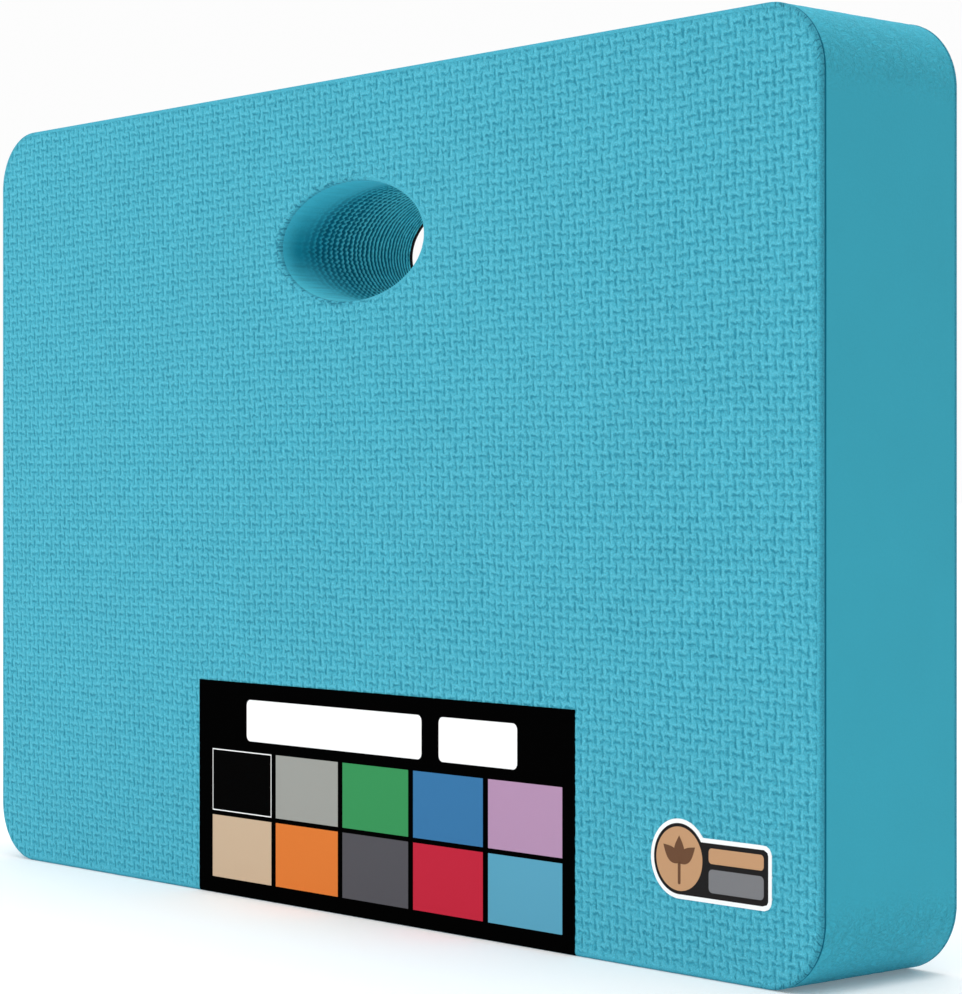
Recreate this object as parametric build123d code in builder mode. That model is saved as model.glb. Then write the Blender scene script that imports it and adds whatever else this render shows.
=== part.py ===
from build123d import *
import os

# Foam kneeling pad with a carrying hole, in millimetres, standing on its long edge.
# X runs along the pad, +Z is up, and the kneeling face looks along -Y.
# The origin is on the bottom edge, halfway along the pad and through its thickness.

# Whole pad
WIDTH = 425.0
HEIGHT = 280.0
THICKNESS = 60.0
CORNER_R = 21.0  # of the pad's outline
EDGE_R = 1.4  # between a face and the side

# Skins and glue lines
SHEET_T = 1.5  # embossed face sheets, which reach out to the side
BAND_T = 1.5  # smooth strip round the side, between the sheets
BOND_T = 0.4  # adhesive film
SEAM_SINK = 0.5  # how far the film stops short of the side, which leaves a dark line there
JOINT_X = -150.0  # where the two ends of the side strip meet, under the pad
JOINT_GAP = 0.4

# Carrying hole: an ellipse straight through the pad, near its top edge
HOLE_X = 3.5
HOLE_Z = 225.0
HOLE_RX = 38.0
HOLE_RZ = 20.0
SLEEVE_T = 1.5
RING_T = 1.6  # depth of the dark ring round the hole's back mouth
MOUTH_R = 0.5
RING_R = 0.5

# Printed colour card, pressed into the kneeling face and over its bottom edge
CARD_X = 16.0
CARD_W = 194.0
CARD_TOP = 75.0
CARD_FOOT = 0.15
PRINT_T = 0.3

# Die-cut sticker: a round emblem and a panel beside it
EMBLEM_X = 157.5
EMBLEM_Z = 34.0
EMBLEM_R = 11.7
PANEL_X = 174.5
PANEL_Z = 32.8
PANEL_W = 39.0
PANEL_H = 18.6
PANEL_R = 3.0

FRONT_Y = -THICKNESS / 2
BACK_Y = THICKNESS / 2
MID_Z = HEIGHT / 2
CORE_T = THICKNESS - 2 * (SHEET_T + BOND_T)


def facing_front(y):
    """The upright plane at depth y, whose normal points out of the kneeling face."""
    return Plane(origin=(0, y, MID_Z), x_dir=(1, 0, 0), z_dir=(0, -1, 0))


def outline(inset):
    """Adds the pad's outline, moved in by inset, to the sketch being made."""
    RectangleRounded(WIDTH - 2 * inset, HEIGHT - 2 * inset, CORNER_R - inset)


def hole(wall, mode=Mode.SUBTRACT):
    """Adds or cuts the carrying hole, wider by wall all round, in the sketch being made."""
    with Locations((HOLE_X, HOLE_Z - MID_Z)):
        Ellipse(HOLE_RX + wall, HOLE_RZ + wall, mode=mode)


def rounded_block(inset):
    """Adds the pad's whole rounded block, moved in by inset all round, to the part."""
    with BuildSketch(facing_front(BACK_Y - inset)) as section:
        outline(inset)
    extrude(section.sketch, amount=THICKNESS - 2 * inset)
    ends = edges().group_by(Axis.Y)
    fillet(ends[0] + ends[-1], EDGE_R - inset)


# Two envelopes that shape the pieces and aren't pieces themselves
with BuildPart() as envelope:
    rounded_block(0)

with BuildPart() as print_floor:
    rounded_block(PRINT_T)

# The card: a thin shell of the pad's front, from near the floor to the card's top
with BuildPart() as colour_card:
    with BuildSketch(facing_front(FRONT_Y + EDGE_R)):
        with Locations((CARD_X, (CARD_TOP + CARD_FOOT) / 2 - MID_Z)):
            Rectangle(CARD_W, CARD_TOP - CARD_FOOT)
    extrude(amount=EDGE_R)
    add(envelope.part, mode=Mode.INTERSECT)
    add(print_floor.part, mode=Mode.SUBTRACT)

with BuildPart() as badge_sticker:
    with BuildSketch(facing_front(FRONT_Y + PRINT_T)):
        with Locations((EMBLEM_X, EMBLEM_Z - MID_Z)):
            Circle(EMBLEM_R)
        with Locations((PANEL_X, PANEL_Z - MID_Z)):
            RectangleRounded(PANEL_W, PANEL_H, PANEL_R)
    extrude(amount=PRINT_T)

with BuildPart() as front_sheet:
    with BuildSketch(facing_front(FRONT_Y + SHEET_T)):
        outline(0)
        hole(0)
    extrude(amount=SHEET_T)
    fillet(edges().filter_by(GeomType.ELLIPSE).sort_by(Axis.Y)[0], MOUTH_R)
    add(envelope.part, mode=Mode.INTERSECT)
    add(colour_card.part, mode=Mode.SUBTRACT)
    add(badge_sticker.part, mode=Mode.SUBTRACT)

with BuildPart() as back_sheet:
    with BuildSketch(facing_front(BACK_Y)):
        outline(0)
        hole(SLEEVE_T)
    extrude(amount=SHEET_T)
    add(envelope.part, mode=Mode.INTERSECT)

# The adhesive film holds a sheet to the core and to the edge of the side strip
with BuildPart() as front_bond:
    with BuildSketch(facing_front(FRONT_Y + SHEET_T + BOND_T)):
        outline(SEAM_SINK)
        hole(SLEEVE_T)
    extrude(amount=BOND_T)

with BuildPart() as back_bond:
    mirror(front_bond.part, about=Plane.XZ)

with BuildPart() as side_band:
    with BuildSketch(facing_front(CORE_T / 2)):
        outline(0)
    extrude(amount=CORE_T)
    with BuildSketch(facing_front(CORE_T / 2)):
        outline(BAND_T)
    extrude(amount=CORE_T, mode=Mode.SUBTRACT)
    with BuildSketch(facing_front(CORE_T / 2)):
        with Locations((JOINT_X, -MID_Z)):
            Rectangle(JOINT_GAP, 4 * BAND_T)
    extrude(amount=CORE_T, mode=Mode.SUBTRACT)

with BuildPart() as foam_core:
    with BuildSketch(facing_front(CORE_T / 2)):
        outline(BAND_T)
        hole(SLEEVE_T)
    extrude(amount=CORE_T)

with BuildPart() as handle_sleeve:
    with BuildSketch(facing_front(BACK_Y - RING_T)):
        hole(SLEEVE_T, mode=Mode.ADD)
        hole(0)
    extrude(amount=THICKNESS - SHEET_T - RING_T)

with BuildPart() as hole_rim_ring:
    with BuildSketch(facing_front(BACK_Y)):
        hole(SLEEVE_T, mode=Mode.ADD)
        hole(0)
    extrude(amount=RING_T)
    back_edges = edges().filter_by(GeomType.ELLIPSE).group_by(Axis.Y)[-1]
    fillet(back_edges, RING_R)

PIECES = {
    "foam_core": foam_core,
    "side_band": side_band,
    "front_sheet": front_sheet,
    "back_sheet": back_sheet,
    "front_bond": front_bond,
    "back_bond": back_bond,
    "handle_sleeve": handle_sleeve,
    "hole_rim_ring": hole_rim_ring,
    "colour_card": colour_card,
    "badge_sticker": badge_sticker,
}

os.makedirs("parts", exist_ok=True)
for piece_name, piece in PIECES.items():
    piece.part.label = piece_name
    export_step(piece.part, f"parts/{piece_name}.step")
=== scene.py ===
import math

import bmesh
import bpy
import numpy as np
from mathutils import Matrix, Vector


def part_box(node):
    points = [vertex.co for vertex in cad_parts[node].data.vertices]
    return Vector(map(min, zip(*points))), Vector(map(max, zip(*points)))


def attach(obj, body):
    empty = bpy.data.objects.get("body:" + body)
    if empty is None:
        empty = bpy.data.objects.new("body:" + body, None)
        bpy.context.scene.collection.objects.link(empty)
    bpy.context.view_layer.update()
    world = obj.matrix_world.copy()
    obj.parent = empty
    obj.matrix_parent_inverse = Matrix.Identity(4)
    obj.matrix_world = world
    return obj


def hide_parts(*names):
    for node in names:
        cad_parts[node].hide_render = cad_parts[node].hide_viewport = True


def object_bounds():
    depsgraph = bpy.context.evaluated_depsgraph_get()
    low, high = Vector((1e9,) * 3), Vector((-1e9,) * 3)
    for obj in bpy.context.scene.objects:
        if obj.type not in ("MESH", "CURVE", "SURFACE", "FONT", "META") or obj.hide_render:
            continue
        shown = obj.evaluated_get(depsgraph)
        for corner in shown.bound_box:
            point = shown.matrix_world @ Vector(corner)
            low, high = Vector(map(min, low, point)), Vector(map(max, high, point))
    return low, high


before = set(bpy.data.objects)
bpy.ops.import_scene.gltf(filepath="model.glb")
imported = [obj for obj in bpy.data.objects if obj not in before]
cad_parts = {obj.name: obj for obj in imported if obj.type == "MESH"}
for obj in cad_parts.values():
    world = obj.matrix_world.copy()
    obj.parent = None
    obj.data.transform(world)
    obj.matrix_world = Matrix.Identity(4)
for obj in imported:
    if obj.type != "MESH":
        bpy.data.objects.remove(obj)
cad_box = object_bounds()

# A foam kneeling pad: embossed face sheets, a smooth side strip, a ribbed carrying hole,
# a printed colour card and a sticker. Metres, in the frame of the CAD model.
MM = 0.001
CARD_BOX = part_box("colour_card")
STICKER_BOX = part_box("badge_sticker")
SHEET_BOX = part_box("front_sheet")
SLEEVE_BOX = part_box("handle_sleeve")
BAND_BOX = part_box("side_band")

# Sizes that the CAD model fixes
HALF_W = cad_box[1].x
HEIGHT = cad_box[1].z
HALF_T = cad_box[1].y
MID_Z = HEIGHT / 2
CORNER_R = 21 * MM
EDGE_R = 1.4 * MM
BAND_T = 1.5 * MM
SHEET_T = SHEET_BOX[1].y - SHEET_BOX[0].y
SLEEVE_T = 1.5 * MM
JOINT_X = -150 * MM
JOINT_GAP = 0.4 * MM
HOLE_X = (SLEEVE_BOX[0].x + SLEEVE_BOX[1].x) / 2
HOLE_Z = (SLEEVE_BOX[0].z + SLEEVE_BOX[1].z) / 2
HOLE_RX = (SLEEVE_BOX[1].x - SLEEVE_BOX[0].x) / 2 - SLEEVE_T
HOLE_RZ = (SLEEVE_BOX[1].z - SLEEVE_BOX[0].z) / 2 - SLEEVE_T
HOLE_MEAN_R = math.sqrt(HOLE_RX * HOLE_RZ)

# The embossed weave: a lattice of short upright and level grooves that alternate. A place
# (u, v) on it counts lattice steps along X and up Z, and widths across a groove are in steps.
PITCH_X = 3.05 * MM
PITCH_Z = 3.08 * MM
U_LINES = (-0.2, 0.0, 0.2)  # the mesh's lines in each step
V_LINES = (-0.29, -0.09, 0.11)
UPRIGHT_DEPTH = 0.28 * MM
LEVEL_DEPTH = 0.30 * MM
GROOVE_WIDTH = 0.13
UPRIGHT_LEAN = 0.1
LEVEL_OFFSET = 0.09  # how far the level grooves lie below the lattice's rows
LEVEL_SHIFT = 1.12  # and how far along them, which puts them between the upright ones
NODE_JITTER = 0.26 * MM
DRIFT = 0.45 * MM
DRIFT_CELL = 14 * MM

# Where the weave stops: short of the pad's edge and of the hole's mouth
PLAIN_EDGE = 1.45 * MM
EDGE_FADE = 0.6 * MM
MOUTH_R = 0.9 * MM
MOUTH_PLAIN = 1.0 * MM
MOUTH_FADE_FROM, MOUTH_FADE_TO = 0.6 * MM, 2.0 * MM
EDGE_ANGLES = (0, 18, 36, 54, 72, 84)  # rings round the rolled edge, in degrees
MOUTH_ANGLES = (0, 20, 40, 60, 80, 90)
BACK_EDGE = ((0.06 * MM, SHEET_T - 0.04 * MM), (0.2 * MM, SHEET_T))  # inset and depth

# The side strip: spacing of its stations, and the size of its creases and ripples
NEAR_STEP, NEAR_RUN, FAR_STEP = 0.8 * MM, 12 * MM, 5 * MM
LINES_ACROSS = 57
TURN_STEP = 1.25  # degrees
CREASE_DEPTH = 0.06 * MM
SOFT_DEPTH = 0.05 * MM
RIPPLE_DEPTH = 0.03 * MM
OUTER_INSET = 0.2 * MM  # the creases move only what lies nearer to the outside than this
BEND_FROM, BEND_TO = -9 * MM, 6 * MM  # where the creases start, along a straight, and are full

# The ribs in the hole: their number round and along, and where they start
SCALLOPS = 80
COLUMNS_PER_SCALLOP = 5
ROWS_PER_RIB = 6
RIBS_FROM = 7 * MM
RIBS_FULL = 20 * MM
RIBS_LATE = 6 * MM  # the ribs start this much later at the top and bottom of the hole
RIB_DEPTH = 0.65 * MM
RIB_STEP_FRONT, RIB_STEP_BACK = 3.0 * MM, 1.1 * MM
RIB_WIDTH = 0.22  # of a crest, in ribs
LAST_ROW_MIN = 0.15 * MM
ZIGZAG_FROM, ZIGZAG_TO = 26 * MM, 48 * MM  # the ribs straighten over these depths

# The noise behind each irregularity
STRIP_SEEDS = {"lean": 7, "crease": 5, "soft": 6, "ripple": 9}
LINING_SEEDS = {"uneven": 37, "wander": 31}
FRONT_SEED, BACK_SEED = 11, 23


# ------------------------ numbers

def smoothstep(low, high, x):
    """0 below low, 1 above high, and a smooth rise between, on arrays."""
    t = np.clip((np.asarray(x, float) - low) / (high - low), 0, 1)
    return t * t * (3 - 2 * t)


def value_noise(x, y, cell, seed):
    """Smooth random values from -1 to 1 over the plane, one new value in each cell."""
    size, origin = 256, 1000.0
    table = np.random.RandomState(seed).uniform(-1, 1, (size, size))
    gx, gy = np.asarray(x) / cell + origin, np.asarray(y) / cell + origin
    ix, iy = np.floor(gx).astype(int), np.floor(gy).astype(int)
    fx, fy = smoothstep(0, 1, gx - ix), smoothstep(0, 1, gy - iy)
    ix, iy, next_x, next_y = ix % size, iy % size, (ix + 1) % size, (iy + 1) % size
    low = table[ix, iy] * (1 - fx) + table[next_x, iy] * fx
    high = table[ix, next_y] * (1 - fx) + table[next_x, next_y] * fx
    return low * (1 - fy) + high * fy


def every_two(x):
    """The distance from x to the nearest even whole number, with its sign."""
    return x - 2 * np.round(x / 2)


def rounding(inset, radius):
    """How far a quarter-round edge has dropped, at a distance in from its side."""
    t = np.clip(inset, 0, radius)
    return radius - np.sqrt(np.maximum(radius**2 - (radius - t) ** 2, 0))


# ------------------------ outline of the pad

def skeleton_point(x, z):
    """The point of the pad's inner rectangle nearest to (x, z), where corner radii start."""
    limit_x, limit_z = HALF_W - CORNER_R, MID_Z - CORNER_R
    return np.clip(x, -limit_x, limit_x), np.clip(z - MID_Z, -limit_z, limit_z) + MID_Z


def edge_inset(x, z):
    """Distance of (x, z) inside the pad's outline, right wherever it is under CORNER_R."""
    cx, cz = skeleton_point(x, z)
    return CORNER_R - np.hypot(x - cx, z - cz)


def hole_gap(x, z):
    """Distance of (x, z) outside the carrying hole, near enough for its lip."""
    reach = np.hypot((x - HOLE_X) / HOLE_RX, (z - HOLE_Z) / HOLE_RZ)
    return (reach - 1) * HOLE_MEAN_R


# ------------------------ weave relief

def groove_section(across):
    """Depth, 0 to 1, at a distance across a groove."""
    return np.exp(-((across / GROOVE_WIDTH) ** 2))


def upright_groove(u, v):
    """Depth, 0 to 1, of the upright grooves at lattice place (u, v)."""
    column = np.round(u)
    along = every_two(v - column)
    centre = u - column + UPRIGHT_LEAN * along
    return groove_section(centre) * (1 - smoothstep(0.4, 0.68, np.abs(along)))


def level_groove(u, v):
    """Depth, 0 to about 1, of the level grooves, which are deeper towards their left ends."""
    row = np.round(v + LEVEL_OFFSET)
    along = every_two(u - row - LEVEL_SHIFT)
    fade = 0.75 - 0.4 * along
    across = v + LEVEL_OFFSET - row
    return fade * groove_section(across) * (1 - smoothstep(0.42, 0.76, np.abs(along)))


def weave_height(u, v, seed):
    """Relief of the embossed weave in metres: 0 at the tops and less in the grooves."""
    groove_unevenness = 1 + 0.2 * value_noise(u, v, 1.0, seed)
    return -groove_unevenness * (UPRIGHT_DEPTH * upright_groove(u, v) + LEVEL_DEPTH * level_groove(u, v))


# ------------------------ mesh making

def new_piece(name, points, faces, lattice=None, materials=(), face_slots=None):
    """A mesh object of the pad, closed, with normals out; finish_piece later makes it smooth and
    puts it on the root body.
    """
    mesh = bpy.data.meshes.new(name)
    mesh.from_pydata([tuple(p) for p in points], [], [tuple(f) for f in faces])
    if lattice is not None:
        layer = mesh.attributes.new("lattice", "FLOAT_VECTOR", "POINT")
        layer.data.foreach_set("vector", np.asarray(lattice, np.float32).ravel())
    for material in materials:
        mesh.materials.append(material)
    if face_slots is not None:
        mesh.polygons.foreach_set("material_index", face_slots)
    bm = bmesh.new()
    bm.from_mesh(mesh)
    bmesh.ops.recalc_face_normals(bm, faces=bm.faces)
    bm.to_mesh(mesh)
    bm.free()
    piece = bpy.data.objects.new(name, mesh)
    bpy.context.scene.collection.objects.link(piece)
    return piece


def finish_piece(piece, node, sharp_degrees=38):
    """Smooth shading and the frame's bookkeeping for a piece that stands for one CAD node."""
    piece.data.shade_smooth()
    piece.data.set_sharp_from_angle(angle=math.radians(sharp_degrees))
    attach(piece, "root")
    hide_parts(node)


class Clipper:
    """Cuts a lattice of quads along the line where keep(x, z) is 0, and keeps what is below 0."""

    HALVINGS = 14  # in the search for each place where the line crosses an edge

    def __init__(self, grid, keep):
        self.keep = keep
        self.shape = grid.shape[:2]
        self.points = [tuple(p) for p in grid.reshape(-1, grid.shape[2])]
        self.values = keep(grid[..., 0].ravel(), grid[..., 1].ravel())
        self.cuts = {}
        self.faces = []
        self.rim = {}

    def cut(self, a, b):
        """The vertex where keep crosses 0 between vertices a and b."""
        key = (min(a, b), max(a, b))
        if key not in self.cuts:
            inside, outside = (a, b) if self.values[a] < 0 else (b, a)
            p, q = np.array(self.points[inside]), np.array(self.points[outside])
            low, high = 0.0, 1.0
            for _ in range(self.HALVINGS):
                middle = (low + high) / 2
                x, z = (p + (q - p) * middle)[:2]
                if self.keep(x, z) < 0:
                    low = middle
                else:
                    high = middle
            self.cuts[key] = len(self.points)
            self.points.append(tuple(p + (q - p) * low))
        return self.cuts[key]

    def run(self):
        """Makes the faces: whole quads inside, and cut ones along the line."""
        rows, columns = self.shape
        index = np.arange(rows * columns).reshape(rows, columns)
        corners = np.stack(
            [index[:-1, :-1], index[1:, :-1], index[1:, 1:], index[:-1, 1:]], -1
        ).reshape(-1, 4)
        count = (self.values[corners] < 0).sum(1)
        self.faces = [tuple(c) for c in corners[count == 4]]
        for cell in corners[(count > 0) & (count < 4)]:
            ring, cuts = [], []
            for a, b in zip(cell, np.roll(cell, -1)):
                if self.values[a] < 0:
                    ring.append(a)
                if (self.values[a] < 0) != (self.values[b] < 0):
                    cuts.append(self.cut(a, b))
                    ring.append(cuts[-1])
            self.faces.append(tuple(ring))
            for a, b in zip(cuts[::2], cuts[1::2]):
                self.rim.setdefault(a, []).append(b)
                self.rim.setdefault(b, []).append(a)

    def loops(self):
        """The cut lines as closed loops of vertices."""
        left, found = set(self.rim), []
        while left:
            loop = [min(left)]
            left.discard(loop[0])
            while True:
                following = [n for n in self.rim[loop[-1]] if n in left]
                if not following:
                    break
                loop.append(following[0])
                left.discard(following[0])
            found.append(loop)
        return found


def band_faces(first, second):
    """Quads between two closed loops of the same length."""
    return [
        (first[i], first[(i + 1) % len(first)], second[(i + 1) % len(first)], second[i])
        for i in range(len(first))
    ]


# ------------------------ face sheets

def sheet_lattice(seed):
    """The warped lattice over a face: x, z and the lattice place (u, v) of each vertex."""
    span_u, span_v = math.ceil(HALF_W / PITCH_X), math.ceil(MID_Z / PITCH_Z)
    nodes_u, nodes_v = np.arange(-span_u, span_u + 1), np.arange(-span_v, span_v + 1)
    rng = np.random.RandomState(seed)
    jitter_x = rng.normal(0, NODE_JITTER / 2, (len(nodes_u), len(nodes_v)))
    jitter_z = rng.normal(0, NODE_JITTER / 2, (len(nodes_u), len(nodes_v)))
    u = (nodes_u[:, None] + np.array(U_LINES)).ravel()
    v = (nodes_v[:, None] + np.array(V_LINES)).ravel()
    u, v = np.meshgrid(u, v, indexing="ij")
    x, z = u * PITCH_X, v * PITCH_Z + MID_Z
    spread = np.ones((len(U_LINES), len(V_LINES)))
    drift_x = DRIFT * value_noise(x, z, DRIFT_CELL, seed + 1)
    drift_z = DRIFT * value_noise(x, z, DRIFT_CELL, seed + 2)
    x = x + np.kron(jitter_x, spread) + drift_x
    z = z + np.kron(jitter_z, spread) + drift_z
    return np.stack([x, z, u, v], -1)


def cut_lattice(hole_wall, seed):
    """A face's lattice, cut short of the pad's edge and of the hole: x, z, u and v of each
    vertex, the faces, and the two open loops, with the one at the pad's edge first."""

    def keep(x, z):
        return np.maximum(PLAIN_EDGE - edge_inset(x, z), hole_wall + MOUTH_PLAIN - hole_gap(x, z))

    clip = Clipper(sheet_lattice(seed), keep)
    clip.run()
    used = sorted({i for f in clip.faces for i in f})
    place = {old: new for new, old in enumerate(used)}
    flat = np.array([clip.points[i] for i in used])
    faces = [tuple(place[i] for i in f) for f in clip.faces]
    loops = [[place[i] for i in loop] for loop in clip.loops()]
    return flat, faces, sorted(loops, key=len, reverse=True)[:2]


def at_inset(inset, drop):
    """A function that takes a point to this far inside the pad's outline, this far down."""
    def place_of(x, z):
        cx, cz = skeleton_point(x, z)
        reach = (CORNER_R - inset) / math.hypot(x - cx, z - cz)
        return cx + (x - cx) * reach, cz + (z - cz) * reach, drop
    return place_of


def at_hole(gap, drop):
    """A function that takes a point to this far outside the hole, this far down."""
    def place_of(x, z):
        turn = math.atan2((z - HOLE_Z) / HOLE_RZ, (x - HOLE_X) / HOLE_RX)
        x, z = (HOLE_RX + gap) * math.cos(turn), (HOLE_RZ + gap) * math.sin(turn)
        return HOLE_X + x, HOLE_Z + z, drop
    return place_of


def quarter_turn(angles, radius):
    """How far in and how far down a rounding of this radius is, at each of the angles."""
    for angle in angles:
        a = math.radians(angle)
        yield radius * (1 - math.sin(a)), radius * (1 - math.cos(a))


def face_sheet(name, node, facing, hole_wall, material, seed):
    """An embossed face sheet: weave, a rolled edge at the seam, and the hole's mouth.
    It faces along Y times facing, and its hole is hole_wall wider than the lining's."""
    flat, faces, (edge_loop, hole_loop) = cut_lattice(hole_wall, seed)
    x, z, u, v = flat.T
    inset = edge_inset(x, z)
    strength = smoothstep(PLAIN_EDGE - EDGE_FADE, PLAIN_EDGE + EDGE_FADE, inset)
    strength *= smoothstep(MOUTH_FADE_FROM, MOUTH_FADE_TO, hole_gap(x, z) - hole_wall)
    depth = -weave_height(u, v, seed) * strength + rounding(inset, EDGE_R)
    points = list(zip(x, z, depth))
    lattice = list(zip(u, v, strength))

    def add_ring(loop, place_of):
        """Copies a loop of vertices to where place_of puts each one, and joins the two."""
        fresh = []
        for i in loop:
            px, pz, drop = place_of(*points[i][:2])
            shift_u, shift_v = (px - points[i][0]) / PITCH_X, (pz - points[i][1]) / PITCH_Z
            fresh.append(len(points))
            points.append((px, pz, drop))
            lattice.append((lattice[i][0] + shift_u, lattice[i][1] + shift_v, 0.0))
        faces.extend(band_faces(loop, fresh))
        return fresh

    for inward, drop in (*quarter_turn(EDGE_ANGLES, EDGE_R), *BACK_EDGE):
        edge_loop = add_ring(edge_loop, at_inset(inward, drop))
    for outward, drop in quarter_turn(MOUTH_ANGLES, MOUTH_R):
        hole_loop = add_ring(hole_loop, at_hole(hole_wall + outward, drop))
    hole_loop = add_ring(hole_loop, at_hole(hole_wall, SHEET_T))

    points = [(px, facing * (HALF_T - drop), pz) for px, pz, drop in points]
    piece = new_piece(name, points, faces, lattice, [material])
    close_back(piece, edge_loop, hole_loop)
    finish_piece(piece, node)


def close_back(piece, *loops):
    """Fills the flat back of a sheet between its edge loop and its hole loop."""
    bm = bmesh.new()
    bm.from_mesh(piece.data)
    bm.verts.ensure_lookup_table()
    ends = []
    for loop in loops:
        for a, b in zip(loop, loop[1:] + loop[:1]):
            ends.append(bm.edges.get((bm.verts[a], bm.verts[b])))
    bmesh.ops.triangle_fill(bm, use_beauty=True, edges=ends)
    bmesh.ops.recalc_face_normals(bm, faces=bm.faces)
    bm.to_mesh(piece.data)
    bm.free()


# ------------------------ side strip

def perimeter():
    """Stations round the pad from one end of the strip to the other, along the outline.
    Each is a skeleton point and the outward direction. Also the distance run to each."""
    limit_x, top, bottom = HALF_W - CORNER_R, HEIGHT - CORNER_R, CORNER_R
    stations = []

    def run(start, end, normal, lines):
        for t in lines:
            x = start[0] + (end[0] - start[0]) * t
            z = start[1] + (end[1] - start[1]) * t
            stations.append((x, z, *normal))

    def turn(x, z, start_degrees):
        for degrees in np.arange(0, 90.01, TURN_STEP):
            a = math.radians(start_degrees + degrees)
            stations.append((x, z, math.cos(a), math.sin(a)))

    def spaced(length):
        """Places along a straight stretch, close together near its ends."""
        near = np.arange(NEAR_STEP, NEAR_RUN, NEAR_STEP) / length
        count = int(length / FAR_STEP)
        middle = np.linspace(NEAR_RUN / length, 1 - NEAR_RUN / length, count)
        return np.concatenate([near, middle, 1 - near[::-1]])

    first, last = JOINT_X + JOINT_GAP / 2, JOINT_X - JOINT_GAP / 2
    run((first, bottom), (limit_x, bottom), (0, -1), [0, *spaced(limit_x - first)])
    turn(limit_x, bottom, -90)
    run((limit_x, bottom), (limit_x, top), (1, 0), spaced(top - bottom))
    turn(limit_x, top, 0)
    run((limit_x, top), (-limit_x, top), (0, 1), spaced(2 * limit_x))
    turn(-limit_x, top, 90)
    run((-limit_x, top), (-limit_x, bottom), (-1, 0), spaced(top - bottom))
    turn(-limit_x, bottom, 180)
    run((-limit_x, bottom), (last, bottom), (0, -1), [*spaced(last + limit_x), 1])
    line = np.array(stations)
    edge = line[:, :2] + line[:, 2:] * CORNER_R
    steps = np.hypot(*np.diff(edge, axis=0).T)
    return line, np.concatenate([[0], np.cumsum(steps)])


def strip_profile():
    """The strip's section, as inset and depth y: up its front edge, back along its outer
    side and down its back edge. The front edge is soft, and the adhesive film shows beside
    it. The back edge laps over the film, so that seam hardly shows."""
    front = [(0.7, 0.0), (0.4, 0.0), (0.18, 0.08), (0.05, 0.22), (0.0, 0.42)]
    lap = [(0.0, -0.1), (0.05, 0.15), (0.14, 0.28), (0.22, 0.36), (0.46, 0.36), (0.46, 0.0)]
    section = [(BAND_T, BAND_BOX[0].y)]
    section += [(inset * MM, BAND_BOX[0].y + step * MM) for inset, step in front]
    section += [(0.0, y) for y in np.linspace(BAND_BOX[0].y, BAND_BOX[1].y, LINES_ACROSS)[1:-1]]
    section += [(inset * MM, BAND_BOX[1].y + step * MM) for inset, step in lap]
    return section + [(BAND_T, BAND_BOX[1].y)]


def corner_closeness(line):
    """1 in the pad's corners, falling to 0 some way along the straights."""
    x, z = line[:, 0] + line[:, 2] * CORNER_R, line[:, 1] + line[:, 3] * CORNER_R
    along_x = smoothstep(BEND_FROM, BEND_TO, np.abs(x) - (HALF_W - CORNER_R))
    along_z = smoothstep(BEND_FROM, BEND_TO, np.abs(z - MID_Z) - (MID_Z - CORNER_R))
    return along_x * along_z


def strip_sink(run, depth, bend):
    """How far creases and ripples press the strip's outer side in, at each distance run
    along the strip and depth y. bend is how near each station is to a corner."""
    s, y = np.meshgrid(run, depth, indexing="ij")
    lean = s + 0.5 * y + 1.5 * MM * value_noise(s, y, 4 * MM, STRIP_SEEDS["lean"])
    creases = 1 - np.abs(value_noise(lean, y, 1.4 * MM, STRIP_SEEDS["crease"]))
    soft = value_noise(lean, y * 0.7, 1.6 * MM, STRIP_SEEDS["soft"]) + 1
    ripple = value_noise(s, y, 22 * MM, STRIP_SEEDS["ripple"]) + 1
    return bend[:, None] * (CREASE_DEPTH * creases + SOFT_DEPTH * soft) + RIPPLE_DEPTH * ripple


def side_strip(material):
    """The smooth strip round the side, creased a little where it bends round the corners."""
    line, run = perimeter()
    inset, depth = np.array(strip_profile()).T
    sink = strip_sink(run, depth, corner_closeness(line))
    inward = inset + sink * (inset < OUTER_INSET)
    x = line[:, 0:1] + line[:, 2:3] * (CORNER_R - inward)
    z = line[:, 1:2] + line[:, 3:4] * (CORNER_R - inward)
    count, width = x.shape
    points = np.stack([x, np.broadcast_to(depth, x.shape), z], -1).reshape(-1, 3)
    rings = [list(range(i * width, (i + 1) * width)) for i in range(count)]
    faces = [face for first, second in zip(rings, rings[1:]) for face in band_faces(first, second)]
    faces += [tuple(rings[0]), tuple(rings[-1])]
    piece = new_piece("side_band_skin", points, faces, materials=[material])
    finish_piece(piece, "side_band")


# ------------------------ lining of the hole

def lining_rows():
    """Depth below the front face and rib place of each ring of vertices of the lining.
    The ribs crowd together towards the back."""
    start, end = SLEEVE_BOX[0].y + HALF_T, SLEEVE_BOX[1].y + HALF_T
    rows = [(start, -2.0), ((start + RIBS_FROM) / 2, -1.0)]
    depth, place = RIBS_FROM, 0.0
    while depth < end - LAST_ROW_MIN:
        rows.append((depth, place))
        deep = (depth - RIBS_FROM) / (end - RIBS_FROM)
        depth += (RIB_STEP_FRONT + (RIB_STEP_BACK - RIB_STEP_FRONT) * deep) / ROWS_PER_RIB
        place += 1 / ROWS_PER_RIB
    rows.append((end, place))
    return rows


def lining_ring(turn, deep, outward):
    """A ring of points at a depth below the front face, outward of the hole's own ellipse."""
    x = HOLE_X + (HOLE_RX + outward) * np.cos(turn)
    z = HOLE_Z + (HOLE_RZ + outward) * np.sin(turn)
    return [(px, -HALF_T + deep, pz) for px, pz in zip(x, z)]


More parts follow.
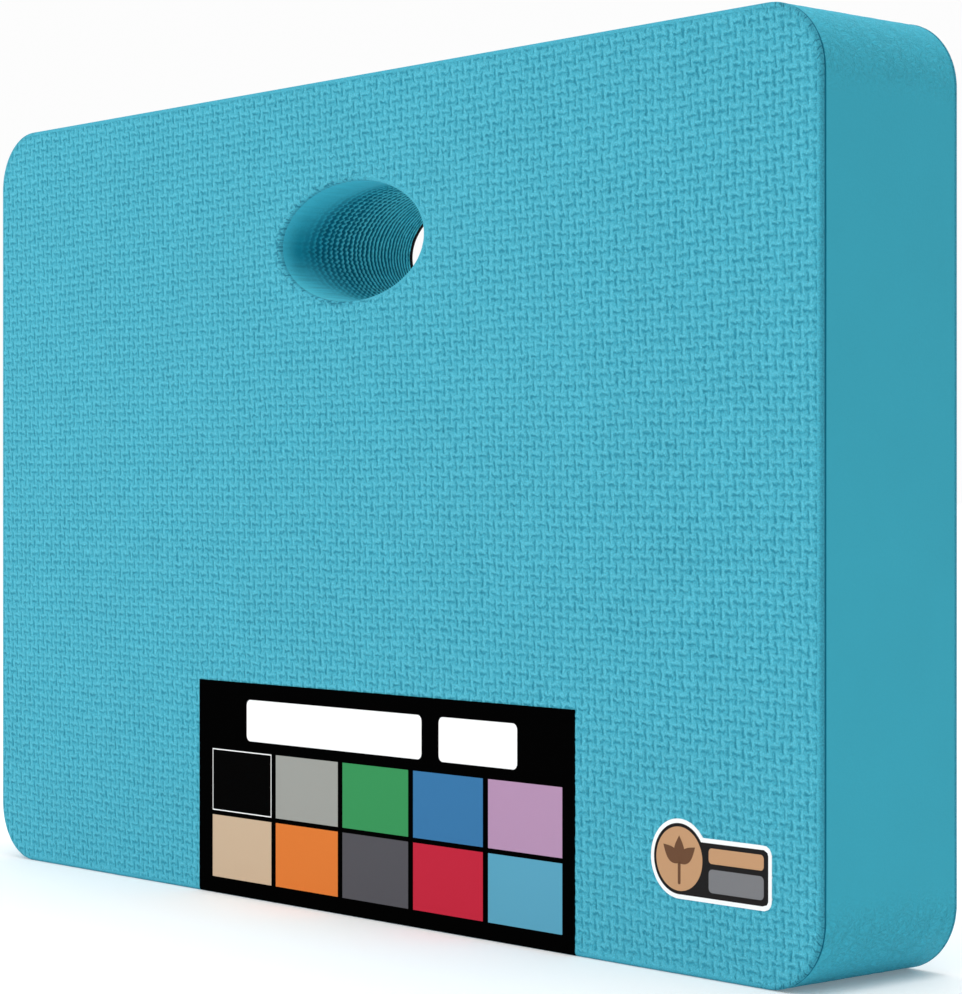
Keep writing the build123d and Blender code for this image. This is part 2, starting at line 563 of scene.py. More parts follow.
def hole_lining(material):
    """The ribbed lining of the carrying hole, smooth near the front mouth."""
    rows = lining_rows()
    columns = COLUMNS_PER_SCALLOP * SCALLOPS
    turn = np.linspace(0, 2 * math.pi, columns, endpoint=False)
    u = np.arange(columns) / COLUMNS_PER_SCALLOP
    late = RIBS_LATE * np.sin(turn) ** 2
    points, lattice = [], []
    for deep, place in rows:
        strength = smoothstep(RIBS_FROM + late, RIBS_FULL + late, deep)
        front = 1 - smoothstep(ZIGZAG_FROM, ZIGZAG_TO, deep)
        zigzag = 0.12 * front + 0.02
        dash = 1 - (0.15 + 0.45 * front) * (0.5 - 0.5 * np.cos(2 * math.pi * u))
        v = np.full(columns, place)
        uneven = 1 + 0.9 * value_noise(u, v, 0.8, LINING_SEEDS["uneven"])
        wander = 0.14 * value_noise(u, v, 1.3, LINING_SEEDS["wander"])
        phase = place + zigzag * uneven * np.sin(2 * math.pi * u) + wander
        crest = np.exp(-(((phase - np.round(phase)) / RIB_WIDTH) ** 2))
        points += lining_ring(turn, deep, strength * (1 - crest) * RIB_DEPTH)
        lattice += list(zip(dash, crest, strength))
    for deep in (rows[-1][0], rows[0][0]):
        points += lining_ring(turn, deep, SLEEVE_T)
        lattice += [(1.0, 1.0, 0.0)] * columns
    rings = [list(range(k * columns, (k + 1) * columns)) for k in range(len(rows) + 2)]
    faces = []
    for first, second in zip(rings, rings[1:] + rings[:1]):
        faces += band_faces(first, second)
    piece = new_piece("handle_sleeve_ribbed", points, faces, lattice, [material])
    finish_piece(piece, "handle_sleeve", sharp_degrees=80)


# ------------------------ node helper

class Nodes:
    """Short calls that add nodes to a material and join them."""

    def __init__(self, name):
        self.material = bpy.data.materials.new(name)
        self.material.use_nodes = True
        self.tree = self.material.node_tree
        self.shader = self.tree.nodes["Principled BSDF"]

    def node(self, kind, **settings):
        made = self.tree.nodes.new(kind)
        for key, value in settings.items():
            setattr(made, key, value)
        return made

    def feed(self, socket, value):
        if isinstance(value, bpy.types.NodeSocket):
            self.tree.links.new(value, socket)
        else:
            socket.default_value = value

    def math(self, operation, *values, clamp=False):
        made = self.node("ShaderNodeMath", operation=operation, use_clamp=clamp)
        for socket, value in zip(made.inputs, values):
            self.feed(socket, value)
        return made.outputs[0]

    def add(self, a, b):
        return self.math("ADD", a, b)

    def sub(self, a, b):
        return self.math("SUBTRACT", a, b)

    def mul(self, a, b):
        return self.math("MULTIPLY", a, b)

    def hypot(self, a, b):
        return self.math("SQRT", self.add(self.mul(a, a), self.mul(b, b)))

    def every_two(self, value):
        """The distance from value to the nearest even whole number, with its sign."""
        return self.sub(value, self.mul(self.math("ROUND", self.mul(value, 0.5)), 2.0))

    def bell(self, value, width):
        """A smooth bump of height 1 at value 0, this wide either side."""
        scaled = self.math("DIVIDE", value, width)
        return self.math("EXPONENT", self.mul(self.mul(scaled, scaled), -1.0))

    def ramp(self, value, low, high, start=0.0, end=1.0):
        """start below low, end above high, and a smooth change between."""
        made = self.node("ShaderNodeMapRange", interpolation_type="SMOOTHSTEP")
        for socket, given in zip(made.inputs, (value, low, high, start, end)):
            self.feed(socket, given)
        return made.outputs[0]

    def noise(self, vector, scale, detail=2.0, rough=0.5):
        made = self.node("ShaderNodeTexNoise")
        self.feed(made.inputs["Vector"], vector)
        made.inputs["Scale"].default_value = scale
        made.inputs["Detail"].default_value = detail
        made.inputs["Roughness"].default_value = rough
        return made.outputs["Fac"]

    def mix(self, factor, first, second, blend="MIX"):
        made = self.node("ShaderNodeMix", data_type="RGBA", blend_type=blend)
        self.feed(made.inputs[0], factor)
        self.feed(made.inputs[6], first)
        self.feed(made.inputs[7], second)
        return made.outputs[2]

    def shaded(self, colour, shade):
        """The colour times a number."""
        grey = self.node("ShaderNodeCombineColor")
        for socket in grey.inputs:
            self.feed(socket, shade)
        return self.mix(1.0, colour, grey.outputs[0], blend="MULTIPLY")

    def place(self):
        """The point on the object, in metres."""
        return self.node("ShaderNodeTexCoord").outputs["Object"]

    def lattice(self):
        """The three numbers of the mesh's lattice attribute."""
        attribute = self.node("ShaderNodeAttribute", attribute_name="lattice")
        return self.split(attribute.outputs["Vector"])

    def split(self, vector):
        made = self.node("ShaderNodeSeparateXYZ")
        self.feed(made.inputs[0], vector)
        return made.outputs

    def joined(self, x, y):
        made = self.node("ShaderNodeCombineXYZ")
        self.feed(made.inputs[0], x)
        self.feed(made.inputs[1], y)
        return made.outputs[0]

    def stretched(self, vector, factors):
        made = self.node("ShaderNodeVectorMath", operation="MULTIPLY")
        self.feed(made.inputs[0], vector)
        made.inputs[1].default_value = factors
        return made.outputs[0]

    def finished(self, colour, roughness, specular, height, relief):
        """The material, with its shader fed. Bumps reach relief where height is 1."""
        self.feed(self.shader.inputs["Base Color"], colour)
        self.feed(self.shader.inputs["Roughness"], roughness)
        self.shader.inputs["Specular IOR Level"].default_value = specular
        bump = self.node("ShaderNodeBump")
        self.feed(bump.inputs["Height"], height)
        bump.inputs["Distance"].default_value = relief
        self.feed(self.shader.inputs["Normal"], bump.outputs[0])
        return self.material


def rgb(red, green, blue):
    """A colour given as 0 to 255 display values, as linear RGBA."""
    def linear(c):
        c = c / 255
        return c / 12.92 if c <= 0.04045 else ((c + 0.055) / 1.055) ** 2.4
    return (linear(red), linear(green), linear(blue), 1.0)


# ------------------------ materials

TEAL = rgb(73, 172, 194)
# painted shade: the colour of the weave's grooves and of the face's rolled edge
TEAL_PAINTED_SHADE = rgb(26, 126, 150)
# painted highlight: the colour of the pale crests beside the weave's grooves
TEAL_PAINTED_HIGHLIGHT = rgb(104, 204, 224)
SIDE_TEAL = rgb(59, 171, 194)
# painted shade in the seam at the side strip's front edge
SEAM_SHADE_TEAL = rgb(6, 116, 142)
# painted shade in the face's corner pleats and in the notches at the hole's mouth
PLEAT_SHADE_TEAL = rgb(16, 108, 132)
LINING_PLAIN = rgb(72, 190, 212)
# painted shade at the wall's middle height
LINING_SHADE = rgb(22, 146, 168)  # at the wall's middle height
# painted shade in the ribs' grooves
LINING_GROOVE_SHADE = rgb(0, 110, 134)
# painted highlight on the ribs' crests, deep in the hole
LINING_CREST_HIGHLIGHT = rgb(104, 226, 240)
# the ribs' crests near the front; their painted highlight grows from this with depth
LINING_CALM = rgb(40, 172, 194)  # the ribs' crests near the front
# painted light on the lower wall near the front
LINING_PAINTED_LIGHT = rgb(96, 212, 230)  # the lower wall near the front


def corner_frame(n, axes):
    """How near a point is to the pad's corners (0 to 1), its turn round the corner as a
    length, and its distance in from the pad's outline."""
    out_x = n.sub(n.math("ABSOLUTE", axes[0]), HALF_W - CORNER_R)
    out_z = n.sub(n.math("ABSOLUTE", n.sub(axes[2], MID_Z)), MID_Z - CORNER_R)
    near = n.mul(n.ramp(out_x, -10 * MM, 5 * MM), n.ramp(out_z, -10 * MM, 5 * MM))
    arc = n.mul(n.math("ARCTAN2", out_z, out_x), CORNER_R)
    reach = n.hypot(n.math("MAXIMUM", out_x, 0.0), n.math("MAXIMUM", out_z, 0.0))
    return near, arc, n.sub(CORNER_R, reach)


def stroke(n, across, along, lean, ends, width, taper, weight, fade, crest_at, crest_width):
    """One kind of groove of the weave and the pale crest beside it, each 0 to 1; the crest's
    paleness is a painted highlight and the groove's darkness painted shade. across and along are
    places in the groove's lattice cell. Along it, the groove widens by taper and deepens by fade
    towards its lower or left end."""
    leaning = n.add(across, n.mul(along, lean))
    length = n.ramp(n.math("ABSOLUTE", along), *ends, start=1.0, end=0.0)
    groove = n.mul(n.bell(leaning, n.sub(width, n.mul(along, taper))), length)
    groove = n.mul(groove, n.sub(weight, n.mul(along, fade)))
    return groove, n.mul(n.bell(n.sub(leaning, crest_at), crest_width), length)


def weave_marks(n, place):
    """The weave's grooves and crests, 0 to 1. They follow the mesh's lattice attribute,
    whose third number is how strong they are, and wander a little from it."""
    wander_u = n.noise(place, 620.0, detail=3.0)
    wander_v = n.noise(n.stretched(place, (1.3, 1.0, 0.9)), 560.0)
    u, v, strength = n.lattice()
    u = n.add(u, n.mul(n.sub(wander_u, 0.5), 0.65))
    v = n.add(v, n.mul(n.sub(wander_v, 0.5), 0.75))
    column = n.math("ROUND", u)
    upright, upright_crest = stroke(
        n, n.sub(u, column), n.every_two(n.sub(v, column)), lean=UPRIGHT_LEAN,
        ends=(0.42, 0.68), width=0.145, taper=0.03, weight=0.82, fade=0.30,
        crest_at=0.34, crest_width=0.14,
    )
    lifted = n.add(v, LEVEL_OFFSET)
    row = n.math("ROUND", lifted)
    level, level_crest = stroke(
        n, n.sub(lifted, row), n.every_two(n.sub(n.sub(u, row), LEVEL_SHIFT)), lean=0.06,
        ends=(0.40, 0.78), width=0.15, taper=0.05, weight=0.78, fade=0.26,
        crest_at=0.30, crest_width=0.13,
    )
    # each lattice cell's grooves get a random strength, which sets how dark their painted shade is
    # and how deep their bump
    dice = n.node("ShaderNodeTexWhiteNoise", noise_dimensions="2D")
    n.feed(dice.inputs["Vector"], n.joined(column, row))
    groove_unevenness = n.add(0.74, n.mul(dice.outputs["Value"], 0.42))
    groove = n.mul(n.mul(n.math("MAXIMUM", upright, level), groove_unevenness), strength)
    return groove, n.mul(n.math("MAXIMUM", upright_crest, level_crest), strength)


def corner_pleats(n, near, arc, inset):
    """Short pleats across the face's rolled edge at the pad's corners, 0 to 1; weave_foam bumps
    them in and darkens them as painted shade.
    """
    spot = n.joined(n.add(arc, n.mul(inset, 0.8)), n.mul(inset, 0.45))
    pleats = n.ramp(n.noise(spot, 1350.0, detail=1.0), 0.52, 0.68)
    return n.mul(n.mul(pleats, near), n.ramp(inset, 0.6 * MM, 3.2 * MM, 1.0, 0.0))


def mouth_notches(n, axes):
    """Small notches in the left half of the hole's mouth, 0 to 1; weave_foam bumps them in and
    darkens them as painted shade.
    """
    out_x = n.math("DIVIDE", n.sub(axes[0], HOLE_X), HOLE_RX)
    out_z = n.math("DIVIDE", n.sub(axes[2], HOLE_Z), HOLE_RZ)
    gap = n.mul(n.sub(n.hypot(out_x, out_z), 1.0), HOLE_MEAN_R)
    spot = n.joined(n.mul(n.math("ARCTAN2", out_z, out_x), 9.0), n.mul(gap, 260.0))
    notches = n.ramp(n.noise(spot, 2.2, detail=1.0), 0.50, 0.62)
    notches = n.mul(notches, n.ramp(out_x, -0.1, 0.45, 1.0, 0.0))
    return n.mul(notches, n.bell(n.sub(gap, 0.6 * MM), 1.5 * MM))


def weave_foam(name):
    """Embossed foam, with painted shade in its grooves and a painted highlight on the crests
    beside them, and painted a little darker where it rolls over at the pad's edge, as painted
    shade.
    """
    n = Nodes(name)
    place = n.place()
    axes = n.split(place)
    groove, crest = weave_marks(n, place)
    near, arc, inset = corner_frame(n, axes)
    pleats = n.math("MAXIMUM", corner_pleats(n, near, arc, inset), mouth_notches(n, axes))
    grain = n.noise(place, 2100.0, detail=2.0, rough=0.7)
    patches = n.noise(place, 45.0, detail=3.0)
    # painted shade in the grooves and a painted highlight on the crests beside them
    colour = n.mix(n.math("MULTIPLY", groove, 0.80, clamp=True), TEAL, TEAL_PAINTED_SHADE)
    colour = n.mix(n.math("MULTIPLY", crest, 0.40, clamp=True), colour, TEAL_PAINTED_HIGHLIGHT)
    # painted shade where the face rolls over at the pad's edge
    colour = n.mix(n.ramp(inset, 0.1 * MM, EDGE_R, 0.40, 0.0), colour, TEAL_PAINTED_SHADE)
    # painted shade in the pleats and notches, which are also bumped in below
    colour = n.mix(n.mul(pleats, 0.75), colour, PLEAT_SHADE_TEAL)
    colour = n.shaded(colour, n.add(0.35, n.add(n.mul(grain, 1.22), n.mul(patches, 0.08))))
    height = n.add(n.mul(groove, -0.6), n.add(n.mul(crest, 0.35), n.mul(grain, 1.2)))
    return n.finished(
        colour, n.add(0.66, n.mul(grain, 0.2)), specular=0.12,
        height=n.sub(height, n.mul(pleats, 1.2)), relief=0.22 * MM,
    )


def lining_foam(name):
    """The lining of the hole: crests painted pale as a painted highlight over grooves painted deep
    as painted shade. The mesh's lattice attribute gives the dashes along a crest, how near a crest
    a point is, and the ribs' strength. The wall has painted shade at its middle height, and
    painted light low down near the front."""
    n = Nodes(name)
    place = n.place()
    dash, crest, strength = n.lattice()
    grain = n.noise(place, 1500.0, detail=3.0, rough=0.65)
    streaks = n.noise(n.stretched(place, (1.0, 0.08, 1.0)), 900.0, detail=2.0)
    broken = n.mul(n.mul(crest, dash), n.add(0.25, n.mul(n.noise(place, 800.0), 1.9)))
    _, y, height = n.split(place)
    deep = n.add(y, HALF_T)
    # crests painted paler with depth, a painted highlight where less light reaches; the grooves
    # get painted shade
    pale = n.mix(n.ramp(deep, 12 * MM, 38 * MM), LINING_CALM, LINING_CREST_HIGHLIGHT)
    ribs = n.mix(n.ramp(broken, 0.05, 0.80), LINING_GROOVE_SHADE, pale)
    # painted shade at the wall's middle height near the front
    middle = n.bell(n.sub(height, HOLE_Z - 1 * MM), 13 * MM)
    plain = n.mix(n.mul(middle, n.ramp(deep, 0.0, 9 * MM)), LINING_PLAIN, LINING_SHADE)
    # painted light: the lower wall near the front is paler, where light through the mouth falls on
    # it
    low = n.ramp(height, HOLE_Z, HOLE_Z - HOLE_RZ)
    glow = n.mul(low, n.ramp(deep, 8 * MM, 32 * MM, 1.0, 0.0))
    colour = n.mix(glow, n.mix(strength, plain, ribs), LINING_PAINTED_LIGHT)
    streaked = n.mul(n.sub(streaks, 0.5), n.add(0.3, n.mul(glow, 0.4)))
    colour = n.shaded(colour, n.add(0.85, n.add(n.mul(grain, 0.3), streaked)))
    return n.finished(
        colour, n.add(0.66, n.mul(grain, 0.2)), specular=0.12,
        height=n.add(n.mul(streaks, 0.8), n.mul(grain, 0.5)), relief=0.2 * MM,
    )


def smooth_foam(name):
    """The side strip: fine grain all over, close creases at the pad's corners with painted shade
    and highlight along them, the corners painted a little lighter as painted light, and a darker
    front edge, painted shade in the seam beside the sheet."""
    n = Nodes(name)
    place = n.place()
    axes = n.split(place)
    near, arc, _ = corner_frame(n, axes)
    depth = axes[1]
    warp = n.mul(n.sub(n.noise(place, 240.0, detail=2.0), 0.5), 5 * MM)
    slanted = n.add(n.add(arc, n.mul(depth, 0.35)), warp)
    crease = n.noise(
        n.joined(slanted, n.add(n.mul(depth, 0.75), warp)), 1300.0, detail=3.0, rough=0.75
    )
    grain = n.noise(place, 1700.0, detail=3.0, rough=0.6)
    dimples = n.noise(n.stretched(place, (1.0, 0.6, 1.0)), 420.0, detail=2.0)
    patches = n.noise(place, 28.0, detail=2.0)
    shade = n.add(0.90, n.add(n.mul(grain, 0.10), n.mul(patches, 0.08)))
    # painted light: the corners a little lighter; painted shade and highlight along the creases
    shade = n.add(shade, n.mul(near, n.add(0.08, n.mul(n.sub(crease, 0.5), 1.15))))
    seam = BAND_BOX[0].y
    # painted shade along the seam at the strip's front edge
    seam_shade = n.ramp(depth, seam + 0.15 * MM, seam + 0.5 * MM, 1.0, 0.0)
    creased = n.mul(n.mul(crease, near), 4.5)
    return n.finished(
        n.mix(seam_shade, n.shaded(SIDE_TEAL, shade), SEAM_SHADE_TEAL),
        n.add(0.60, n.mul(grain, 0.2)), specular=0.15,
        height=n.add(creased, n.add(n.mul(grain, 0.3), n.mul(dimples, 0.35))),
        relief=0.14 * MM,
    )


def plain_grain(name, colour, roughness, relief_mm, scale=2500.0, vary=0.0, specular=0.3):
    """A plain finish with fine grain, for inks, films, hidden foam and the stage. vary is
    how much darker the colour gets in the grain."""
    n = Nodes(name)
    grain = n.noise(n.place(), scale, detail=3.0, rough=0.6)
    spread = 0.06
    if vary:
        colour = n.mix(grain, tuple(c * (1 - vary) for c in colour[:3]) + (1.0,), colour)
    roughness = n.add(roughness - spread, n.mul(grain, 2 * spread))
    return n.finished(colour, roughness, specular, height=grain, relief=relief_mm * MM)


# ------------------------ flat prints

class Print:
    """Collects flat shapes on the pad's front, each a thin closed prism, for one piece."""

    def __init__(self):
        self.points, self.faces, self.slots = [], [], []

    def prism(self, outline, back, front, slot):
        """A shape given by its (x, z) outline, from depth y back to depth y front."""
        start, count = len(self.points), len(outline)
        for y in (back, front):
            self.points += [(x, y, z) for x, z in outline]
        rear = list(range(start, start + count))
        face = list(range(start + count, start + 2 * count))
        self.faces += [tuple(reversed(rear)), tuple(face)]
        self.faces += band_faces(rear, face)
        self.slots += [slot] * (count + 2)

    def piece(self, name, node, slot, inks):
        """The collected shapes as one piece, whose materials are the inks in slot order."""
        made = new_piece(name, self.points, self.faces, materials=inks, face_slots=self.slots)
        finish_piece(made, node)


def rectangle(x0, x1, z0, z1, inset=0.0):
    x0, x1, z0, z1 = x0 + inset, x1 - inset, z0 + inset, z1 - inset
    return [(x0, z0), (x1, z0), (x1, z1), (x0, z1)]


def rounded_rectangle(x0, x1, z0, z1, radius, steps=8):
    """Outline of a rounded rectangle, anticlockwise."""
    corners = ((x1, z0, -90), (x1, z1, 0), (x0, z1, 90), (x0, z0, 180))
    outline = []
    for x, z, start in corners:
        cx = x - radius if x == x1 else x + radius
        cz = z - radius if z == z1 else z + radius
        for i in range(steps + 1):
            a = math.radians(start + 90 * i / steps)
            outline.append((cx + radius * math.cos(a), cz + radius * math.sin(a)))
    return outline


def circle(x, z, radius, points=72):
    turns = [2 * math.pi * k / points for k in range(points)]
    return [(x + radius * math.cos(t), z + radius * math.sin(t)) for t in turns]


def leaf(x, z, length, width, degrees, points=16):
    """A pointed leaf that grows from (x, z) in the direction given."""
    turn = math.radians(degrees)
    outline = []
    for side, steps in ((1, range(points + 1)), (-1, range(points - 1, 0, -1))):
        for i in steps:
            t = i / points
            along, out = length * t, side * width / 2 * math.sin(math.pi * t ** 0.8)
            outline.append((
                x + along * math.cos(turn) - out * math.sin(turn),
                z + along * math.sin(turn) + out * math.cos(turn),
            ))
    return outline


# ------------------------ printed card

# Places on the card in millimetres, from its left edge and from the floor
CARD_ROWS = ((5.9, 27.7), (29.3, 51.0))
CARD_COLUMN_START, CARD_COLUMN_STEP, CARD_COLUMN_WIDTH = 8.0, 36.6, 34.1
CARD_COLOURS = (
    ("tan", rgb(199, 174, 147)), ("orange", rgb(218, 121, 56)), ("graphite", rgb(84, 83, 88)),
    ("red", rgb(189, 42, 62)), ("sky", rgb(90, 159, 185)),
    ("black", rgb(6, 6, 6)), ("grey", rgb(155, 156, 151)), ("green", rgb(59, 144, 88)),
    ("blue", rgb(59, 116, 163)), ("lilac", rgb(178, 142, 174)),
)
CARD_BARS = ((28.0, 122.0, 54.8, 69.2), (130.5, 168.0, 54.8, 69.2))
BAR_R = 2.0 * MM
CARD_LIFT = 0.12 * MM  # of the card's face above the foam
CARD_SHEET = 0.25 * MM
CARD_BEND_LINES = 9
INK_ROOT = 0.05 * MM  # how far the inks reach into the card
INK_RISE = 0.02 * MM
BLACK_OUTLINE = 0.35 * MM
INK_FINISH = {"roughness": 0.8, "relief_mm": 0.02, "specular": 0.0}


def card_body(card, slot):
    """The card itself, lying on the face and bent over the pad's bottom rounding."""
    low, high = CARD_BOX
    outer_r = EDGE_R + CARD_LIFT
    end = math.asin(min(1.0, (EDGE_R - low.z) / outer_r))

    def side(radius):
        """One side of the card's section, from its top down round the bend."""
        line = [(-HALF_T + EDGE_R - radius, high.z)]
        for a in np.linspace(0, end, CARD_BEND_LINES):
            line.append((-HALF_T + EDGE_R - radius * math.cos(a), EDGE_R - radius * math.sin(a)))
        return line

    outer, inner = side(outer_r), side(outer_r - CARD_SHEET)
    loop = outer + inner[::-1]
    start, count = len(card.points), len(loop)
    for x in (low.x, high.x):
        card.points += [(x, y, z) for y, z in loop]
    left = list(range(start, start + count))
    right = list(range(start + count, start + 2 * count))
    card.faces += band_faces(left, right)
    for end_ring in (left, right):
        for i in range(len(outer) - 1):
            a, b = end_ring[i], end_ring[i + 1]
            card.faces.append((a, b, end_ring[count - 2 - i], end_ring[count - 1 - i]))
    card.slots += [slot] * (count + 2 * (len(outer) - 1))


def colour_card():
    """The printed card: black, ten colour blocks and two white bars in place of a title."""
    inks = [plain_grain("ink_card_black", rgb(3, 3, 3), **INK_FINISH)]
    inks.append(plain_grain("ink_card_white", rgb(250, 250, 250), **INK_FINISH))
    black, white = 0, 1
    card = Print()
    card_body(card, black)
    left = CARD_BOX[0].x
    face = -HALF_T - CARD_LIFT
    root, front = face + INK_ROOT, face - INK_RISE
    for k, (name, colour) in enumerate(CARD_COLOURS):
        z0, z1 = (edge * MM for edge in CARD_ROWS[k // 5])
        x0 = left + (CARD_COLUMN_START + CARD_COLUMN_STEP * (k % 5)) * MM
        block = (x0, x0 + CARD_COLUMN_WIDTH * MM, z0, z1)
        if name == "black":
            card.prism(rectangle(*block), root, front, white)
            inner = rectangle(*block, inset=BLACK_OUTLINE)
            card.prism(inner, root, front - INK_RISE, len(inks))
        else:
            card.prism(rectangle(*block), root, front, len(inks))
        inks.append(plain_grain("ink_" + name, colour, **INK_FINISH))
    for x0, x1, z0, z1 in CARD_BARS:
        bar = rounded_rectangle(left + x0 * MM, left + x1 * MM, z0 * MM, z1 * MM, BAR_R)
        card.prism(bar, root, front, white)
    card.piece("colour_card_printed", "colour_card", "card_print", inks)


# ------------------------ sticker

EMBLEM_R = 11.7 * MM
EMBLEM_X = STICKER_BOX[0].x + EMBLEM_R
EMBLEM_Z = STICKER_BOX[1].z - EMBLEM_R
PANEL_LEFT = EMBLEM_X - 2 * MM
PANEL_RIGHT = STICKER_BOX[1].x
PANEL_FOOT = STICKER_BOX[0].z
PANEL_H = 18.6 * MM
PANEL_R = 3.0 * MM
STICKER_BORDER = 1.3 * MM
DISC_BORDER = 2.3 * MM
STICKER_LIFT = 0.12 * MM
STICKER_ROOT = 0.2 * MM  # how far the sticker reaches into the foam
INK_LAYER = 0.03 * MM
STEM = (-0.55 * MM, 0.55 * MM, -7.5 * MM, 0.5 * MM)  # from the disc's middle
LEAVES = ((38, 8.2, 0), (142, 8.2, 2), (90, 8.0, 1))  # direction, length in mm, and order
LEAF_WIDTH = 4.2 * MM
LEAF_ROOT = 1.2 * MM  # below the disc's middle
STICKER_FINISH = {"roughness": 0.5, "relief_mm": 0.01, "specular": 0.1}


def sticker_outline(inset, points=200, longest=60 * MM, halvings=24):
    """The sticker's die-cut outline moved in by inset: a disc joined to a rounded panel.
    Each point is where a line from inside the disc, near the panel, first meets it."""
    middle_x, middle_z = (PANEL_LEFT + PANEL_RIGHT) / 2, PANEL_FOOT + PANEL_H / 2
    start_x, start_z = EMBLEM_X + 4 * MM, EMBLEM_Z - 1 * MM

    def outside(x, z):
        disc = math.hypot(x - EMBLEM_X, z - EMBLEM_Z) - EMBLEM_R
        qx = abs(x - middle_x) - (PANEL_RIGHT - PANEL_LEFT) / 2 + PANEL_R
        qz = abs(z - middle_z) - PANEL_H / 2 + PANEL_R
        panel = math.hypot(max(qx, 0), max(qz, 0)) + min(max(qx, qz), 0) - PANEL_R
        return min(disc, panel) + inset

    outline = []
    for k in range(points):
        turn = 2 * math.pi * k / points
        near, far = 0.0, longest
        for _ in range(halvings):
            reach = (near + far) / 2
            if outside(start_x + reach * math.cos(turn), start_z + reach * math.sin(turn)) < 0:
                near = reach
            else:
                far = reach
        outline.append((start_x + near * math.cos(turn), start_z + near * math.sin(turn)))
    return outline


def badge_sticker():
    """A generic sticker: a sprout on a tan disc, and two plain bars on a dark panel."""
    inks = [
        plain_grain("film_white", rgb(245, 246, 246), 0.38, 0.01, specular=0.2),
        plain_grain("film_charcoal", rgb(20, 17, 17), **STICKER_FINISH),
        plain_grain("film_tan", rgb(192, 148, 110), **STICKER_FINISH),
        plain_grain("film_brown", rgb(104, 70, 48), **STICKER_FINISH),
        plain_grain("film_grey", rgb(120, 120, 123), **STICKER_FINISH),
    ]
    white, charcoal, tan, brown, grey = range(len(inks))
    sticker = Print()
    face = -HALF_T - STICKER_LIFT
    panel_ink, disc_ink, sprout_ink = (face - layers * INK_LAYER for layers in (1, 2, 3))
    sticker.prism(sticker_outline(0.0), -HALF_T + STICKER_ROOT, face, white)
    sticker.prism(sticker_outline(STICKER_BORDER), face + INK_LAYER, panel_ink, charcoal)
    disc = circle(EMBLEM_X, EMBLEM_Z, EMBLEM_R - DISC_BORDER)
    sticker.prism(disc, face, disc_ink, tan)
    x0, x1, z0, z1 = STEM
    stem = rounded_rectangle(EMBLEM_X + x0, EMBLEM_X + x1, EMBLEM_Z + z0, EMBLEM_Z + z1, 0.5 * MM)
    sticker.prism(stem, face, sprout_ink, brown)
    for degrees, length, order in LEAVES:
        shape = leaf(EMBLEM_X, EMBLEM_Z - LEAF_ROOT, length * MM, LEAF_WIDTH, degrees)
        sticker.prism(shape, face, sprout_ink - 0.3 * INK_LAYER * order, brown)
    left, right = EMBLEM_X + EMBLEM_R + 0.2 * MM, PANEL_RIGHT - 3.0 * MM
    for z0, z1, radius, ink in ((11.4, 15.9, 1.2, tan), (3.0, 9.8, 1.4, grey)):
        bar = rounded_rectangle(
            left, right, PANEL_FOOT + z0 * MM, PANEL_FOOT + z1 * MM, radius * MM
        )
        sticker.prism(bar, face, disc_ink, ink)
    sticker.piece("badge_sticker_printed", "badge_sticker", "sticker_film", inks)


# ------------------------ finish of the CAD nodes

def paint_cad(node, material):
    """Gives a CAD node that is shown as it is a material of its own."""
    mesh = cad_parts[node].data
    mesh.materials.clear()
    mesh.materials.append(material)


# ------------------------ stage, lights, camera

FLOOR_HALF = 40.0
FLOOR_CORNERS = (
    (-FLOOR_HALF, -FLOOR_HALF, 0), (FLOOR_HALF, -FLOOR_HALF, 0),
    (FLOOR_HALF, FLOOR_HALF, 0), (-FLOOR_HALF, FLOOR_HALF, 0),
)
FLOOR_GLOW = 0.14
FLAG_CORNERS = ((1.1, -0.5, 0.02), (1.1, 1.0, 0.02), (1.1, 1.0, 1.1), (1.1, -0.5, 1.1))
WHITE = (1.0, 1.0, 1.0, 1.0)
SKY_STRENGTH = 0.98
LIGHTS = (  # name, place, size, power
    ("key", (-1.1, -1.5, 1.3), 0.7, 6.0),
    ("top", (0.3, 0.1, 1.6), 1.0, 10.0),
)
EYE = (0.738, -0.621, 0.1397)
EYE_HEADING = 48.5045  # degrees left of straight along +Y
LENS, SENSOR_WIDTH = 102.394, 36.0  # millimetres


def stage_panel(name, corners, material):
    """A flat part of the stage, which isn't part of the pad."""
    mesh = bpy.data.meshes.new(name)
    mesh.from_pydata(corners, [], [(0, 1, 2, 3)])
    mesh.materials.append(material)
    panel = bpy.data.objects.new(name, mesh)
    bpy.context.scene.collection.objects.link(panel)
    return panel


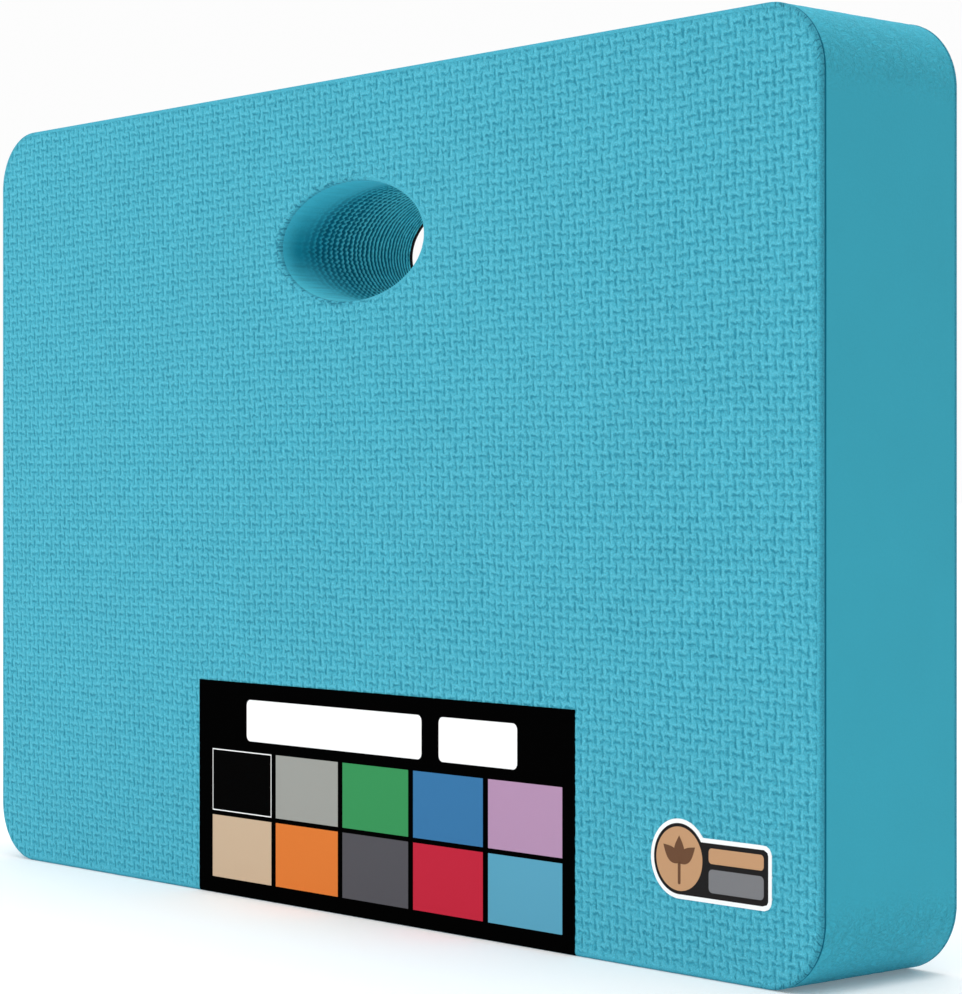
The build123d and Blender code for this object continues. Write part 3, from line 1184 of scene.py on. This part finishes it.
def studio():
    """A plain pale floor in soft, nearly even light, a little stronger from the upper left.
    The floor glows faintly. A dark flag beyond the pad's right end keeps some light off that
    side, and the camera doesn't see it."""
    paint = plain_grain("floor_paint", (0.9, 0.9, 0.9, 1.0), 0.8, 0.02, 300.0)
    shader = paint.node_tree.nodes["Principled BSDF"]
    shader.inputs["Emission Color"].default_value = WHITE
    shader.inputs["Emission Strength"].default_value = FLOOR_GLOW
    stage_panel("floor", FLOOR_CORNERS, paint)
    cloth = plain_grain("flag_cloth", (0.02, 0.02, 0.02, 1.0), 0.9, 0.02, 300.0)
    stage_panel("flag", FLAG_CORNERS, cloth).visible_camera = False

    world = bpy.data.worlds.new("studio")
    bpy.context.scene.world = world
    world.use_nodes = True
    sky = world.node_tree.nodes["Background"]
    sky.inputs["Color"].default_value = WHITE
    sky.inputs["Strength"].default_value = SKY_STRENGTH

    for name, spot, size, power in LIGHTS:
        light = bpy.data.lights.new(name, "AREA")
        light.size = size
        light.energy = power
        lamp = bpy.data.objects.new(name, light)
        lamp.location = spot
        aim = (-spot[0], -spot[1], MID_Z - spot[2])
        lamp.rotation_mode = "QUATERNION"
        lamp.rotation_quaternion = Vector(aim).to_track_quat("-Z", "Y")
        bpy.context.scene.collection.objects.link(lamp)


def camera():
    """A level camera to the right of the pad, close enough for strong perspective."""
    data = bpy.data.cameras.new("camera")
    data.lens = LENS
    data.sensor_width = SENSOR_WIDTH
    eye = bpy.data.objects.new("camera", data)
    eye.location = EYE
    eye.rotation_euler = (math.radians(90), 0, math.radians(EYE_HEADING))
    bpy.context.scene.collection.objects.link(eye)
    bpy.context.scene.camera = eye


bpy.context.scene.view_settings.view_transform = "Standard"

face_foam = weave_foam("foam_embossed")
face_sheet("front_sheet_embossed", "front_sheet", -1, 0.0, face_foam, FRONT_SEED)
face_sheet("back_sheet_embossed", "back_sheet", 1, SLEEVE_T, face_foam, BACK_SEED)
side_strip(smooth_foam("foam_smooth"))
hole_lining(lining_foam("foam_lining"))
colour_card()
badge_sticker()
# the front bond film is painted dark teal as painted shade in the seam between sheet and strip;
# the back one is near the foam's colour
paint_cad("front_bond", plain_grain("bond_film_front_painted_shade", rgb(8, 112, 138), 0.7, 0.03, vary=0.3))
paint_cad("back_bond", plain_grain("bond_film_back", rgb(60, 172, 196), 0.7, 0.03, vary=0.2))
paint_cad("foam_core", plain_grain("foam_cells", rgb(66, 158, 180), 0.8, 0.2, 900.0, vary=0.25))
rim_black = plain_grain("rim_black", rgb(5, 5, 6), 0.7, 0.04, vary=0.4, specular=0.08)
paint_cad("hole_rim_ring", rim_black)
studio()
camera()
